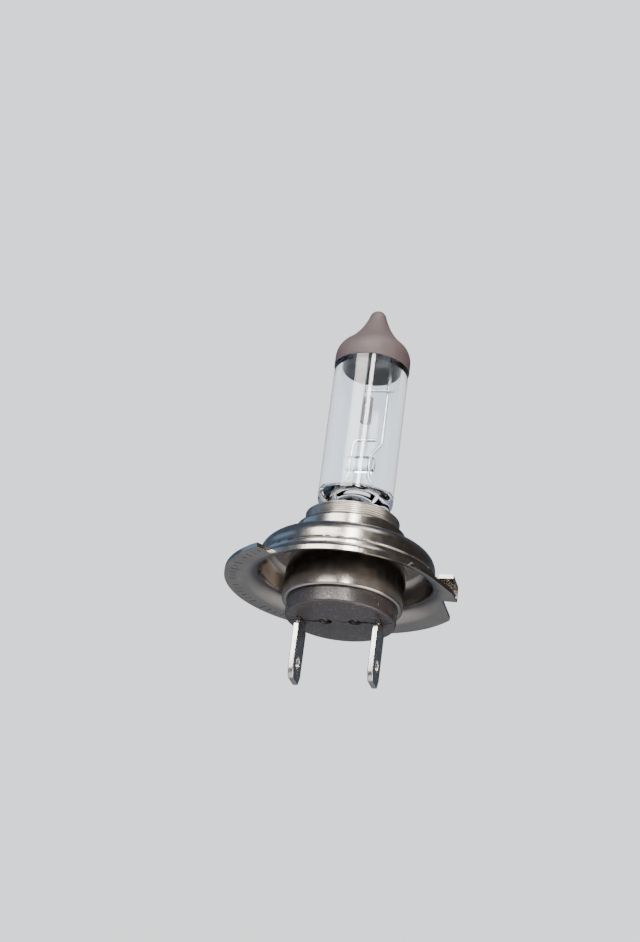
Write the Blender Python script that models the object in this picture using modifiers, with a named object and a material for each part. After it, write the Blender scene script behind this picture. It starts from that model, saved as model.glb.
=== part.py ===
"""Headlight bulb: a halogen burner in a stamped metal cap with a centring ring and two blades.

Metres, +Z up. The bulb's axis is Z. The origin lies on the reference plane, the tops of the three
bosses on the glass side of the ring. The blades stand side by side along X, below the cap.
"""

import math

import bmesh
import bpy
from mathutils import Matrix, Vector

MM = 0.001

# Burner
TIP_Z = 43.5 * MM  # top of the sealed exhaust tip
GLASS_RADIUS = 5.42 * MM
GLASS_WALL = 1.0 * MM
DOME_RADIUS = 3.0 * MM  # round shoulder of the dome, in section
TIP_FILLET = 11.0 * MM  # hollow curve between the dome and the tip, in section
TIP_RADIUS = 1.05 * MM
CAVITY_FLOOR_Z = 13.4 * MM
TUBE_END_Z = 11.6 * MM  # where the round tube starts to narrow into the pinch
PINCH_WIDTH = 10.0 * MM
PINCH_THICKNESS = 3.4 * MM
PINCH_END_Z = 2.2 * MM
COATING_THICKNESS = 0.1 * MM
COATING_RIM_Z = 33.8 * MM

# Filament and its mount
FILAMENT_START_Z = 25.0 * MM  # light centre data: coil starts 25.0 above the reference plane
FILAMENT_LENGTH = 4.1 * MM
COIL_RADIUS = 0.72 * MM
COIL_TURNS = 14
FILAMENT_WIRE = 0.11 * MM  # radius
SUPPORT_WIRE = 0.25 * MM  # radius
LEAD_SPACING = 4.26 * MM  # between the two wires in the pinch
BRIDGE_SPACING = 2.8 * MM  # between the two wires in the glass bridge
BRIDGE_Z = 18.3 * MM
BRIDGE_SIZE = (4.5 * MM, 2.0 * MM, 2.3 * MM)
LOWER_BAR_Z = 22.2 * MM  # level part of the short support wire
UPPER_BAR_Z = FILAMENT_START_Z + FILAMENT_LENGTH + 1.2 * MM  # cross wire above the coil
BAR_OVERHANG = 1.2 * MM  # how far a level wire runs past what it holds
LONG_WIRE_X = 2.75 * MM
LONG_WIRE_BEND_Z = 21.8 * MM
LONG_WIRE_TOP_Z = 36.0 * MM
FOIL_SIZE = (1.8 * MM, 0.1 * MM, 6.0 * MM)
FOIL_TOP_Z = 12.0 * MM
FOIL_LAP = 1.0 * MM  # length of wire welded along each end of a foil

# Cap
INSULATOR_RADIUS = 7.8 * MM  # the ferrule is sized around it
SHEET = 0.6 * MM  # pressed sheet of the ring
SHELL_WALL = 0.5 * MM
RING_RADIUS = 17.0 * MM
RING_TRIM_RADIUS = RING_RADIUS - 2.7 * MM  # where the ring is cut back
RING_TRIM_ANGLES = (-123.0, -20.0)
TAB_X = RING_RADIUS - 1.45 * MM  # outer edge of the key tab
TAB_START_Y = 0.3 * MM
TAB_END_Y = 3.45 * MM
NOTCH_X = RING_RADIUS - 3.55 * MM  # straight floor of the key notch beside the tab
RING_TOP_Z = -0.4 * MM
SHOULDER_RADIUS = RING_RADIUS - 4.5 * MM
SHOULDER_TOP_Z = 2.5 * MM
SHOULDER_FILLET = 1.7 * MM
CROWN_Z = 5.0 * MM  # where the crown of the ring meets the neck of the shell
BOSS_RADIUS = 0.9 * MM
BOSS_CIRCLE = RING_RADIUS - 1.4 * MM
BOSS_ANGLES = (62.0, 150.0, 230.0)
LUG_INNER = TAB_X - 2.05 * MM
LUG_START_Y = -1.2 * MM
LUG_RISE = 1.05 * MM  # clear height between the flange and the folded lug
FERRULE_RADIUS = INSULATOR_RADIUS + 0.7 * MM
FERRULE_END_Z = -3.7 * MM
FERRULE_TOP_Z = 2.4 * MM
NECK_RADIUS = 7.9 * MM
NECK_TOP_Z = 7.6 * MM
DIMPLE_RADIUS = 0.9 * MM
DIMPLE_DEPTH = 0.25 * MM
DIMPLE_COUNT = 2
DIMPLE_START_ANGLE = -140.0
COLLAR_RADIUS = 6.75 * MM
COLLAR_TOP_Z = 9.7 * MM
COLLAR_END_Z = 4.4 * MM
GROOVE_COUNT = 3
GROOVE_DEPTH = 0.12 * MM
CLAMP_WALL = 0.35 * MM
CLAMP_FLOOR_Z = 4.9 * MM
CLAMP_TOP_Z = 9.0 * MM

# Insulator and terminals
INSULATOR_TOP_Z = 1.2 * MM
INSULATOR_END_Z = -5.95 * MM
BLADE_SPACING = 11.2 * MM
BLADE_WIDTH = 4.6 * MM
BLADE_THICKNESS = 0.8 * MM
BLADE_STEP_Z = -6.9 * MM  # below this the blade has its full width
BLADE_END_Z = -15.0 * MM
BLADE_NECK_WIDTH = 3.0 * MM
BLADE_NECK_THICKNESS = 0.7 * MM  # coined a little thinner than the blade
BLADE_TOP_Z = -1.6 * MM
BLADE_HOLE_RADIUS = 0.95 * MM
BLADE_HOLE_RISE = 2.7 * MM  # from the blade's end to the hole
POCKET_RADIUS = 0.95 * MM
POCKET_DEPTH = 1.3 * MM
STRAP_THICKNESS = 0.25 * MM
STRAP_HEIGHT = 0.8 * MM
STRAP_RISE = 0.35 * MM  # how far the straps lie above the insulator's face
SEAM_DEPTH = 0.3 * MM

# Fits
GAP = 0.05 * MM  # between metal pieces, and around the insulator
WIRE_GAP = 0.03 * MM  # around sealed and welded wires, and under the coating

STEPS = 40
GLASS_STEPS = 24
WIRE_SIDES = 10


def remove_startup_objects():
    for obj in list(bpy.data.objects):
        bpy.data.objects.remove(obj, do_unlink=True)


def new_collection(name):
    collection = bpy.data.collections.new(name)
    bpy.context.scene.collection.children.link(collection)
    return collection


def material(name, colour, roughness, metallic, transmission=0.0):
    made = bpy.data.materials.new(name)
    made.use_nodes = True
    made.diffuse_color = (*colour, 1.0)
    shader = made.node_tree.nodes["Principled BSDF"]
    shader.inputs["Base Color"].default_value = (*colour, 1.0)
    shader.inputs["Roughness"].default_value = roughness
    shader.inputs["Metallic"].default_value = metallic
    shader.inputs["Transmission Weight"].default_value = transmission
    return made


def add_object(name, mesh, collection, finish=None):
    obj = bpy.data.objects.new(name, mesh)
    collection.objects.link(obj)
    if finish is not None:
        mesh.materials.append(finish)
    return obj


def make_cutter(obj):
    obj.hide_render = True
    obj.display_type = "WIRE"
    return obj


def turned(name, profile, closed, collection, finish=None, steps=STEPS):
    """Solid of revolution. The profile runs down the outer side, from top to bottom."""
    mesh = bpy.data.meshes.new(name)
    points = [(radius, 0.0, z) for radius, z in profile]
    edges = [(i, i + 1) for i in range(len(points) - 1)]
    if closed:
        edges.append((len(points) - 1, 0))
    mesh.from_pydata(points, edges, [])
    obj = add_object(name, mesh, collection, finish)
    screw = obj.modifiers.new("turn", "SCREW")
    screw.axis = "Z"
    screw.steps = steps
    screw.render_steps = steps
    screw.use_merge_vertices = True
    screw.merge_threshold = 1e-6
    screw.use_smooth_shade = True
    return obj


def box(name, size, centre, collection, finish=None, turn=0.0, bevel=0.0, segments=2):
    """Box of this size, turned about Z by an angle in degrees after it is placed."""
    mesh = bpy.data.meshes.new(name)
    shape = bmesh.new()
    place = Matrix.Rotation(math.radians(turn), 4, "Z") @ Matrix.Translation(centre)
    bmesh.ops.create_cube(shape, size=1.0, matrix=place @ Matrix.Diagonal((*size, 1.0)))
    shape.to_mesh(mesh)
    shape.free()
    obj = add_object(name, mesh, collection, finish)
    if bevel:
        rounding = obj.modifiers.new("rounding", "BEVEL")
        rounding.width = bevel
        rounding.segments = segments
        rounding.limit_method = "ANGLE"
    return obj


def rod(name, radius, start, end, collection, finish=None, sides=WIRE_SIDES, end_radius=None):
    """Straight round bar between two points."""
    start = Vector(start)
    end = Vector(end)
    axis = end - start
    mesh = bpy.data.meshes.new(name)
    shape = bmesh.new()
    bmesh.ops.create_cone(
        shape,
        cap_ends=True,
        segments=sides,
        radius1=radius,
        radius2=radius if end_radius is None else end_radius,
        depth=axis.length,
        matrix=Matrix.Translation((start + end) / 2) @ axis.to_track_quat("Z", "Y").to_matrix().to_4x4(),
    )
    shape.to_mesh(mesh)
    shape.free()
    return add_object(name, mesh, collection, finish)


def wire(name, radius, points, collection, finish=None, resolution=2):
    """Bent wire along a list of points."""
    curve = bpy.data.curves.new(name, "CURVE")
    curve.dimensions = "3D"
    curve.bevel_depth = radius
    curve.bevel_resolution = resolution
    curve.use_fill_caps = True
    spline = curve.splines.new("POLY")
    spline.points.add(len(points) - 1)
    for point, place in zip(spline.points, points):
        point.co = (*place, 1.0)
    obj = bpy.data.objects.new(name, curve)
    collection.objects.link(obj)
    if finish is not None:
        curve.materials.append(finish)
    return obj


def boolean(obj, other, operation):
    step = obj.modifiers.new(other.name, "BOOLEAN")
    step.operation = operation
    step.solver = "EXACT"
    step.object = other


def cut(obj, *cutters):
    for cutter in cutters:
        boolean(obj, make_cutter(cutter), "DIFFERENCE")


def join(obj, *pieces):
    for piece in pieces:
        boolean(obj, make_cutter(piece), "UNION")


def around(radius, angle, z):
    """Point at this radius and angle in degrees about the axis."""
    turn = math.radians(angle)
    return (radius * math.cos(turn), radius * math.sin(turn), z)


def arc(centre_r, centre_z, radius, start, end, count):
    """Points of an arc in section, from a start to an end angle in degrees."""
    angles = [math.radians(start + (end - start) * i / count) for i in range(count + 1)]
    return [(centre_r + radius * math.cos(a), centre_z + radius * math.sin(a)) for a in angles]


def rounded_corner(before, corner, after, radius, count=4):
    """Points of a fillet between two straight sides of a profile."""
    corner = Vector(corner)
    a = (Vector(before) - corner).normalized()
    b = (Vector(after) - corner).normalized()
    half = math.acos(max(-1.0, min(1.0, a.dot(b)))) / 2
    centre = corner + (a + b).normalized() * (radius / math.sin(half))
    first = corner + a * (radius / math.tan(half)) - centre
    last = corner + b * (radius / math.tan(half)) - centre
    turn = first.angle_signed(last)
    points = []
    for i in range(count + 1):
        points.append(centre + Matrix.Rotation(-turn * i / count, 2) @ first)
    return [(point.x, point.y) for point in points]


def tip_outline(offset):
    """Outer section of the glass from its tip down to the straight tube, moved out by an offset."""
    lip = math.radians(16.0)
    rise = TIP_RADIUS * 0.6
    joined = DOME_RADIUS + TIP_FILLET
    bend = math.acos((DOME_RADIUS + TIP_FILLET * math.cos(lip) - GLASS_RADIUS + TIP_RADIUS) / joined)
    fillet_z = TIP_Z - rise + TIP_FILLET * math.sin(lip)
    dome_z = fillet_z - joined * math.sin(bend)
    fillet = arc(
        TIP_RADIUS + TIP_FILLET * math.cos(lip),
        fillet_z,
        TIP_FILLET - offset,
        180 + math.degrees(lip),
        180 + math.degrees(bend),
        5,
    )
    dome = arc(GLASS_RADIUS - DOME_RADIUS, dome_z, DOME_RADIUS + offset, math.degrees(bend), 0, 6)
    top = [(0.0, TIP_Z + offset), (TIP_RADIUS * 0.45, TIP_Z + offset - rise * 0.15)]
    top.append((TIP_RADIUS * 0.85, TIP_Z + offset - rise * 0.5))
    return top + fillet + dome[1:], dome_z


def make_glass(parts, cutters, glass):
    outline, dome_z = tip_outline(0.0)
    foot = TUBE_END_Z - 1.6 * MM
    tube_end = [(GLASS_RADIUS, TUBE_END_Z + 0.6 * MM), (GLASS_RADIUS - 0.5 * MM, TUBE_END_Z)]
    profile = outline + tube_end + [(PINCH_THICKNESS / 2, foot), (0.0, foot)]
    envelope = turned("glass_envelope", profile, False, parts, glass, GLASS_STEPS)

    inside = GLASS_RADIUS - GLASS_WALL
    vault = [(inside * math.cos(a), dome_z + inside * 0.68 * math.sin(a)) for a in quarter_turn(5)]
    hollow = [(0.0, vault[0][1])] + vault[1:]
    hollow += [(inside, CAVITY_FLOOR_Z + 1.0 * MM), (inside * 0.93, CAVITY_FLOOR_Z + 0.1 * MM)]
    hollow += [(inside * 0.78, CAVITY_FLOOR_Z - 0.3 * MM), (inside * 0.45, CAVITY_FLOOR_Z)]
    hollow += [(0.0, CAVITY_FLOOR_Z)]
    cavity = turned("cavity", hollow, False, cutters, None, GLASS_STEPS)

    height = TUBE_END_Z + 0.5 * MM - PINCH_END_Z
    centre = (0.0, 0.0, PINCH_END_Z + height / 2)
    pinch = box(
        "pinch", (PINCH_WIDTH, PINCH_THICKNESS, height), centre, cutters, bevel=0.8 * MM, segments=3
    )
    join(envelope, pinch)
    cut(envelope, cavity)
    for side in (-1, 1):
        cut(envelope, *lead_ways(side, cutters))
    return envelope


def quarter_turn(count):
    """Angles from straight up to level."""
    return [math.pi / 2 * (1 - i / count) for i in range(count + 1)]


def wire_offset():
    """How far the lead wires lie in front of the foils they are welded to."""
    return SUPPORT_WIRE + FOIL_SIZE[1] / 2 + WIRE_GAP


def lead_ways(side, cutters):
    """Spaces in the pinch for one foil and the two wires welded to it."""
    x = side * LEAD_SPACING / 2
    y = wire_offset()
    low = FOIL_TOP_Z - FOIL_SIZE[2]
    size = [length + 2 * WIRE_GAP for length in FOIL_SIZE]
    slot = box(f"foil_slot_{side}", size, (x, 0.0, (FOIL_TOP_Z + low) / 2), cutters)
    radius = SUPPORT_WIRE + WIRE_GAP
    above = (x, y, CAVITY_FLOOR_Z + 1.5 * MM)
    inner = rod(f"inner_way_{side}", radius, (x, y, FOIL_TOP_Z - FOIL_LAP - WIRE_GAP), above, cutters)
    below = (x, y, PINCH_END_Z - 1.0 * MM)
    outer = rod(f"outer_way_{side}", radius, below, (x, y, low + FOIL_LAP + WIRE_GAP), cutters)
    return slot, inner, outer


def make_coating(parts, paint):
    inner, _ = tip_outline(WIRE_GAP)
    outer, _ = tip_outline(WIRE_GAP + COATING_THICKNESS)
    rim = [(outer[-1][0], COATING_RIM_Z), (inner[-1][0], COATING_RIM_Z)]
    return turned("shade_coating", outer + rim + inner[::-1], False, parts, paint, GLASS_STEPS)


def make_filament(parts, tungsten):
    """Axial coil with a straight leg at each end, in front of the wires that hold it."""
    front = -(SUPPORT_WIRE + FILAMENT_WIRE + WIRE_GAP)
    start = math.asin(front / COIL_RADIUS)
    sweep = 2 * math.pi * COIL_TURNS + (math.pi - 2 * start) % (2 * math.pi)
    per_turn = 12
    count = round(sweep / (2 * math.pi) * per_turn)
    coil = []
    for i in range(count + 1):
        angle = start + sweep * i / count
        height = FILAMENT_START_Z + FILAMENT_LENGTH * i / count
        coil.append((COIL_RADIUS * math.cos(angle), COIL_RADIUS * math.sin(angle), height))
    lower = (coil[0][0], coil[0][1], LOWER_BAR_Z - BAR_OVERHANG / 2)
    upper = (coil[-1][0], coil[-1][1], UPPER_BAR_Z + BAR_OVERHANG / 2)
    return wire("filament_coil", FILAMENT_WIRE, [lower] + coil + [upper], parts, tungsten, 1)


def bridge_path(side, x_above, y_above, z_above):
    """Centre line of a support wire from its foil, up through the glass bridge, to a point above."""
    x = side * LEAD_SPACING / 2
    y = wire_offset()
    bridge_x = side * BRIDGE_SPACING / 2
    half = BRIDGE_SIZE[2] / 2 + 0.3 * MM
    return [
        (x, y, FOIL_TOP_Z - FOIL_LAP),
        (x, y, CAVITY_FLOOR_Z + 0.4 * MM),
        (bridge_x + side * 0.1 * MM, 0.05 * MM, BRIDGE_Z - half - 0.2 * MM),
        (bridge_x, 0.0, BRIDGE_Z - half),
        (bridge_x, 0.0, BRIDGE_Z + half),
        (x_above, y_above, z_above),
    ]


def make_support_wires(parts, molybdenum):
    bend = 0.9 * MM
    rise = LOWER_BAR_Z - bend
    corner_x = -BRIDGE_SPACING / 2 + 0.15 * MM
    short = bridge_path(-1, corner_x, 0.0, rise)
    for i in range(1, 5):
        angle = math.pi / 2 * i / 4
        x = corner_x + bend * (1 - math.cos(angle))
        short.append((x, 0.0, rise + bend * math.sin(angle)))
    short.append((COIL_RADIUS + BAR_OVERHANG, 0.0, LOWER_BAR_Z))
    wire("short_support_wire", SUPPORT_WIRE, short, parts, molybdenum)

    behind = 2 * SUPPORT_WIRE + WIRE_GAP
    long = bridge_path(1, LONG_WIRE_X - 0.2 * MM, behind * 0.9, LONG_WIRE_BEND_Z - 0.3 * MM)
    long.append((LONG_WIRE_X, behind, LONG_WIRE_BEND_Z + 0.2 * MM))
    long.append((LONG_WIRE_X, behind, LONG_WIRE_TOP_Z))
    wire("long_support_wire", SUPPORT_WIRE, long, parts, molybdenum)

    start = (-COIL_RADIUS - BAR_OVERHANG / 4, 0.0, UPPER_BAR_Z)
    end = (LONG_WIRE_X + BAR_OVERHANG * 0.75, 0.0, UPPER_BAR_Z)
    rod("upper_cross_wire", SUPPORT_WIRE, start, end, parts, molybdenum)


def make_bridge(parts, cutters, glass):
    bridge = box("glass_bridge", BRIDGE_SIZE, (0.0, 0.0, BRIDGE_Z), parts, glass, bevel=0.7 * MM, segments=3)
    for side in (-1, 1):
        x = side * BRIDGE_SPACING / 2
        low = (x, 0.0, BRIDGE_Z - BRIDGE_SIZE[2])
        high = (x, 0.0, BRIDGE_Z + BRIDGE_SIZE[2])
        way = rod(f"bridge_way_{side}", SUPPORT_WIRE + WIRE_GAP, low, high, cutters)
        cut(bridge, way)


def make_foil_and_lead(side, word, parts, molybdenum, nickel):
    x = side * LEAD_SPACING / 2
    y = wire_offset()
    low = FOIL_TOP_Z - FOIL_SIZE[2]
    box(f"foil_{word}", FOIL_SIZE, (x, 0.0, (FOIL_TOP_Z + low) / 2), parts, molybdenum)
    end = INSULATOR_END_Z + STRAP_RISE
    rod(f"outer_lead_{word}", SUPPORT_WIRE, (x, y, end), (x, y, low + FOIL_LAP), parts, nickel)


def make_clamp(parts, cutters, steel):
    """Sheet clip that grips the pinch and stands in the collar."""
    hold = COLLAR_RADIUS - SHELL_WALL - GAP
    disc = [(hold, CLAMP_FLOOR_Z + CLAMP_WALL), (hold, CLAMP_FLOOR_Z), (0.0, CLAMP_FLOOR_Z)]
    clamp = turned("burner_clamp", [(0.0, CLAMP_FLOOR_Z + CLAMP_WALL)] + disc, False, parts, steel)
    width = PINCH_WIDTH + 2 * (GAP + CLAMP_WALL)
    depth = PINCH_THICKNESS + 2 * (GAP + CLAMP_WALL)
    height = CLAMP_TOP_Z - CLAMP_FLOOR_Z - CLAMP_WALL / 2
    middle = CLAMP_TOP_Z - height / 2
    walls = box("clamp_walls", (width, depth, height), (0.0, 0.0, middle), cutters)
    opening = (PINCH_WIDTH + 2 * GAP, PINCH_THICKNESS + 2 * GAP, 4 * height)
    join(clamp, walls)
    cut(clamp, box("clamp_opening", opening, (0.0, 0.0, middle), cutters))


def make_collar(parts, steel):
    """Turned sleeve with fine grooves around its upper end."""
    pitch = (COLLAR_TOP_Z - NECK_TOP_Z) / (GROOVE_COUNT + 0.5)
    inner = COLLAR_RADIUS - SHELL_WALL
    profile = [(inner, COLLAR_TOP_Z), (COLLAR_RADIUS - GROOVE_DEPTH, COLLAR_TOP_Z)]
    for i in range(GROOVE_COUNT):
        top = COLLAR_TOP_Z - GROOVE_DEPTH - i * pitch
        profile.append((COLLAR_RADIUS, top))
        profile.append((COLLAR_RADIUS, top - pitch * 0.6))
        profile.append((COLLAR_RADIUS - GROOVE_DEPTH, top - pitch * 0.8))
    profile += [(COLLAR_RADIUS, COLLAR_TOP_Z - GROOVE_DEPTH - GROOVE_COUNT * pitch)]
    profile += [(COLLAR_RADIUS, COLLAR_END_Z), (inner, COLLAR_END_Z)]
    turned("focusing_collar", profile, True, parts, steel)


def make_shell(parts, cutters, steel):
    """Drawn shell: the ferrule around the insulator, and the neck that the ring is fixed on."""
    neck = NECK_RADIUS
    mouth = COLLAR_RADIUS + GAP
    lip = 0.6 * MM
    outer = [(mouth, NECK_TOP_Z)]
    outer += rounded_corner((mouth, NECK_TOP_Z), (neck, NECK_TOP_Z), (neck, 0.0), lip)
    outer += [(neck, FERRULE_TOP_Z + 0.7 * MM), (FERRULE_RADIUS, FERRULE_TOP_Z)]
    crimp = 0.35 * MM
    below = (FERRULE_RADIUS, FERRULE_END_Z)
    outer += rounded_corner((FERRULE_RADIUS, 0.0), below, (0.0, FERRULE_END_Z), crimp, 3)
    inner_low = FERRULE_RADIUS - SHELL_WALL
    inner_high = neck - SHELL_WALL
    inner = [(INSULATOR_RADIUS + GAP, FERRULE_END_Z), (inner_low, FERRULE_END_Z + crimp)]
    inner += [(inner_low, FERRULE_TOP_Z - SHELL_WALL / 2), (inner_high, FERRULE_TOP_Z + 0.4 * MM)]
    inner += [(inner_high, NECK_TOP_Z - SHELL_WALL), (mouth, NECK_TOP_Z - SHELL_WALL)]
    shell = turned("cap_shell", outer + inner, True, parts, steel)
    height = (CROWN_Z + NECK_TOP_Z) / 2
    for i in range(DIMPLE_COUNT):
        angle = DIMPLE_START_ANGLE + 360 * i / DIMPLE_COUNT
        start = around(neck - SHELL_WALL / 2, angle, height)
        end = around(neck + DIMPLE_DEPTH, angle, height)
        spot = rod(
            f"dimple_{i}", DIMPLE_RADIUS, start, end, cutters, sides=12, end_radius=DIMPLE_RADIUS * 0.6
        )
        join(shell, spot)


def ring_section():
    """Section of the pressed ring: crown, shoulder, flared foot and flat flange, sheet thickness in."""
    hole = NECK_RADIUS + GAP
    foot_z = RING_TOP_Z + SHOULDER_FILLET
    foot_r = SHOULDER_RADIUS + SHOULDER_FILLET
    turn_radius = 2.2 * MM
    crown_r = SHOULDER_RADIUS - turn_radius
    slope = (CROWN_Z - SHOULDER_TOP_Z - turn_radius * 0.8) / (crown_r - hole)
    lean = math.degrees(math.atan(slope))
    crown = arc(crown_r, SHOULDER_TOP_Z, turn_radius, 90 - lean, 0, 5)
    flare = arc(foot_r, foot_z, SHOULDER_FILLET, 180, 270, 4)
    outer = [(hole, CROWN_Z)] + crown + flare
    under_crown = arc(crown_r, SHOULDER_TOP_Z, turn_radius - SHEET, 0, 90 - lean, 5)
    under_flare = arc(foot_r, foot_z, SHOULDER_FILLET + SHEET, 270, 180, 4)
    low = RING_TOP_Z - SHEET
    rim = [(RING_RADIUS, RING_TOP_Z), (RING_RADIUS, low)]
    inner = under_flare + under_crown + [(hole, CROWN_Z - SHEET)]
    return outer + rim + inner


def trim_outline():
    """Plan of what is cut away from the flange: its near side, and the notch beyond the tab."""
    first, last = RING_TRIM_ANGLES
    far = RING_RADIUS * 1.6
    count = 14
    inner = []
    for i in range(count + 1):
        angle = first + (last - first) * i / count
        inner.append(around(RING_TRIM_RADIUS, angle, 0.0))
    lean = 0.25 * MM
    inner.append((TAB_X - lean, TAB_START_Y, 0.0))
    inner.append((TAB_X, TAB_END_Y, 0.0))
    inner.append((NOTCH_X, TAB_END_Y - lean, 0.0))
    return inner + [(NOTCH_X, far, 0.0), (far, far, 0.0), (far, -far, 0.0), around(far, first, 0.0)]


def flat_outline(name, points, low, high, collection):
    """Flat outline extruded between two heights, as a mesh."""
    curve = bpy.data.curves.new(name, "CURVE")
    curve.dimensions = "2D"
    curve.fill_mode = "BOTH"
    curve.extrude = (high - low) / 2
    spline = curve.splines.new("POLY")
    spline.points.add(len(points) - 1)
    spline.use_cyclic_u = True
    for point, place in zip(spline.points, points):
        point.co = (place[0], place[1], 0.0, 1.0)
    drawn = bpy.data.objects.new(name, curve)
    bpy.context.scene.collection.objects.link(drawn)
    bpy.context.view_layer.update()
    graph = bpy.context.evaluated_depsgraph_get()
    mesh = bpy.data.meshes.new_from_object(drawn.evaluated_get(graph))
    bpy.data.objects.remove(drawn, do_unlink=True)
    shape = bmesh.new()
    shape.from_mesh(mesh)
    bmesh.ops.remove_doubles(shape, verts=shape.verts, dist=1e-7)
    bmesh.ops.translate(shape, verts=shape.verts, vec=(0.0, 0.0, (high + low) / 2))
    bmesh.ops.recalc_face_normals(shape, faces=shape.faces)
    shape.to_mesh(mesh)
    shape.free()
    return add_object(name, mesh, collection)


def make_ring(parts, cutters, steel):
    ring = turned("prefocus_ring", ring_section(), True, parts, steel)
    low = RING_TOP_Z - 4 * SHEET
    high = RING_TOP_Z + SHOULDER_FILLET * 0.9
    cut(ring, flat_outline("ring_trim", trim_outline(), low, high, cutters))
    for i, angle in enumerate(BOSS_ANGLES):
        start = around(BOSS_CIRCLE, angle, RING_TOP_Z - SHEET / 2)
        end = around(BOSS_CIRCLE, angle, 0.0)
        join(ring, rod(f"boss_{i}", BOSS_RADIUS, start, end, cutters, sides=16))
    join(ring, *make_lug(cutters))


def make_lug(cutters):
    """Lug folded up from the end of the tab and back over it: an upright and a level tongue."""
    length = TAB_X - LUG_INNER
    x = LUG_INNER + length / 2
    low = RING_TOP_Z - SHEET / 2
    high = RING_TOP_Z + LUG_RISE + SHEET
    upright_y = TAB_END_Y - SHEET / 2 - 0.1 * MM
    upright = (length, SHEET, high - low)
    tongue_y = (LUG_START_Y + TAB_END_Y - 0.1 * MM) / 2
    tongue = (length, 2 * (tongue_y - LUG_START_Y), SHEET)
    return (
        box("lug_upright", upright, (x, upright_y, (low + high) / 2), cutters),
        box("lug_tongue", tongue, (x, tongue_y, high - SHEET / 2), cutters, bevel=0.1 * MM),
    )


def make_insulator(parts, cutters, plastic):
    edge = 0.35 * MM
    low = (INSULATOR_RADIUS, INSULATOR_END_Z)
    profile = [(0.0, INSULATOR_TOP_Z), (INSULATOR_RADIUS, INSULATOR_TOP_Z)]
    profile += rounded_corner((INSULATOR_RADIUS, 0.0), low, (0.0, INSULATOR_END_Z), edge, 3)
    profile += [(0.0, INSULATOR_END_Z)]
    insulator = turned("insulator_body", profile, False, parts, plastic)
    for side in (-1, 1):
        cut(insulator, *terminal_ways(side, cutters))
    seam = (LEAD_SPACING, STRAP_THICKNESS + 2 * GAP, 2 * SEAM_DEPTH)
    cut(insulator, box("seam", seam, (0.0, strap_y(), INSULATOR_END_Z), cutters))


def strap_y():
    """The straps lie behind the lead wires, against the foils' plane."""
    return wire_offset() - SUPPORT_WIRE - GAP - STRAP_THICKNESS / 2


def terminal_ways(side, cutters):
    """Spaces in the insulator for one blade, its strap and the lead wire."""
    x = side * BLADE_SPACING / 2
    lead_x = side * LEAD_SPACING / 2
    y = wire_offset()
    depth = BLADE_TOP_Z + GAP - INSULATOR_END_Z
    slot_size = (BLADE_NECK_THICKNESS + 2 * GAP, BLADE_NECK_WIDTH + 2 * GAP, 2 * depth)
    blade_way = box(f"blade_way_{side}", slot_size, (x, 0.0, INSULATOR_END_Z), cutters)
    lead_start = (lead_x, y, INSULATOR_END_Z - 1.0 * MM)
    lead_end = (lead_x, y, INSULATOR_TOP_Z + 1.0 * MM)
    lead_way = rod(f"lead_way_{side}", SUPPORT_WIRE + GAP, lead_start, lead_end, cutters)
    pocket_low = (lead_x, strap_y(), INSULATOR_END_Z - 1.0 * MM)
    pocket_high = (lead_x, strap_y(), INSULATOR_END_Z + POCKET_DEPTH)
    pocket = rod(f"pocket_{side}", POCKET_RADIUS, pocket_low, pocket_high, cutters, sides=20)
    start, end = strap_ends(side)
    strap_height = 2 * (STRAP_RISE + STRAP_HEIGHT + GAP)
    size = (abs(end - start) + 2 * GAP, STRAP_THICKNESS + 2 * GAP, strap_height)
    strap_way = box(f"strap_way_{side}", size, ((start + end) / 2, strap_y(), INSULATOR_END_Z), cutters)
    return blade_way, lead_way, pocket, strap_way


def strap_ends(side):
    inner = LEAD_SPACING / 2 - SUPPORT_WIRE
    outer = (BLADE_SPACING - BLADE_NECK_THICKNESS) / 2 - GAP
    return side * inner, side * outer


def make_strap(side, word, parts, nickel):
    start, end = strap_ends(side)
    z = INSULATOR_END_Z + STRAP_RISE + STRAP_HEIGHT / 2
    size = (abs(end - start), STRAP_THICKNESS, STRAP_HEIGHT)
    box(f"weld_strap_{word}", size, ((start + end) / 2, strap_y(), z), parts, nickel)


def make_blade(side, word, parts, cutters, tinned):
    """Flat blade with a narrower neck in the insulator, tapered end edges and a detent hole."""
    x = side * BLADE_SPACING / 2
    length = BLADE_STEP_Z - BLADE_END_Z
    size = (BLADE_THICKNESS, BLADE_WIDTH, length)
    centre = (x, 0.0, BLADE_END_Z + length / 2)
    blade = box(f"blade_terminal_{word}", size, centre, parts, tinned, bevel=0.2 * MM)
    neck_length = BLADE_TOP_Z - BLADE_STEP_Z + BLADE_THICKNESS  # runs on into the blade
    neck_size = (BLADE_NECK_THICKNESS, BLADE_NECK_WIDTH, neck_length)
    neck_centre = (x, 0.0, BLADE_TOP_Z - neck_length / 2)
    join(blade, box(f"blade_neck_{side}", neck_size, neck_centre, cutters))
    z = BLADE_END_Z + BLADE_HOLE_RISE
    start = (x - BLADE_THICKNESS, 0.0, z)
    end = (x + BLADE_THICKNESS, 0.0, z)
    cut(blade, rod(f"detent_{side}", BLADE_HOLE_RADIUS, start, end, cutters, sides=20))


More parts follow.
